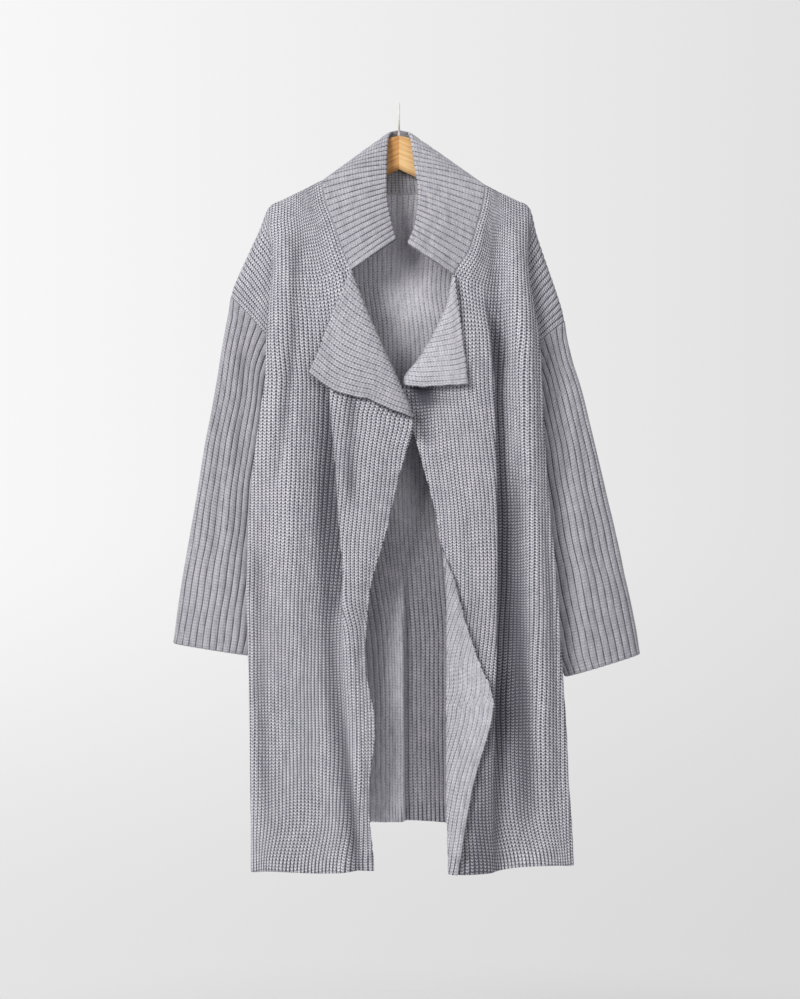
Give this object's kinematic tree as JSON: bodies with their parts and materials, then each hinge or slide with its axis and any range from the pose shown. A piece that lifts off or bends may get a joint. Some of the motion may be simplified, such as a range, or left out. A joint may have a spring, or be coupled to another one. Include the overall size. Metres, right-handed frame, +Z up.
{
  "type": "long ribbed open-front cardigan on a wooden hanger",
  "caption": "Long ribbed open-front cardigan with turned-back lapels and a ribbed collar band, hanging on a plain wooden hanger with a wire hook.",
  "frame": {"origin": "inside of the hook's crown, where the rail or peg touches it", "axes": "+Z up, -Y out of the garment's front, +X to the right seen from the front (the wearer's left)"},
  "size_m": [0.6771, 0.1095, 1.1136],
  "materials": {
    "rib_knit": "soft matt half-cardigan rib knit in heathered light grey",
    "hanger_wood": "satin varnished light wood",
    "hook_wire": "thin pale wire, satin"
  },
  "bodies": {
    "root": {"back_panel": "rib_knit", "collar": "rib_knit", "front_panel_left": "rib_knit", "front_panel_right": "rib_knit", "sleeve_left": "rib_knit", "sleeve_right": "rib_knit", "hanger_wood": "hanger_wood", "hanger_hook": "hook_wire"}
  },
  "joints": []
}
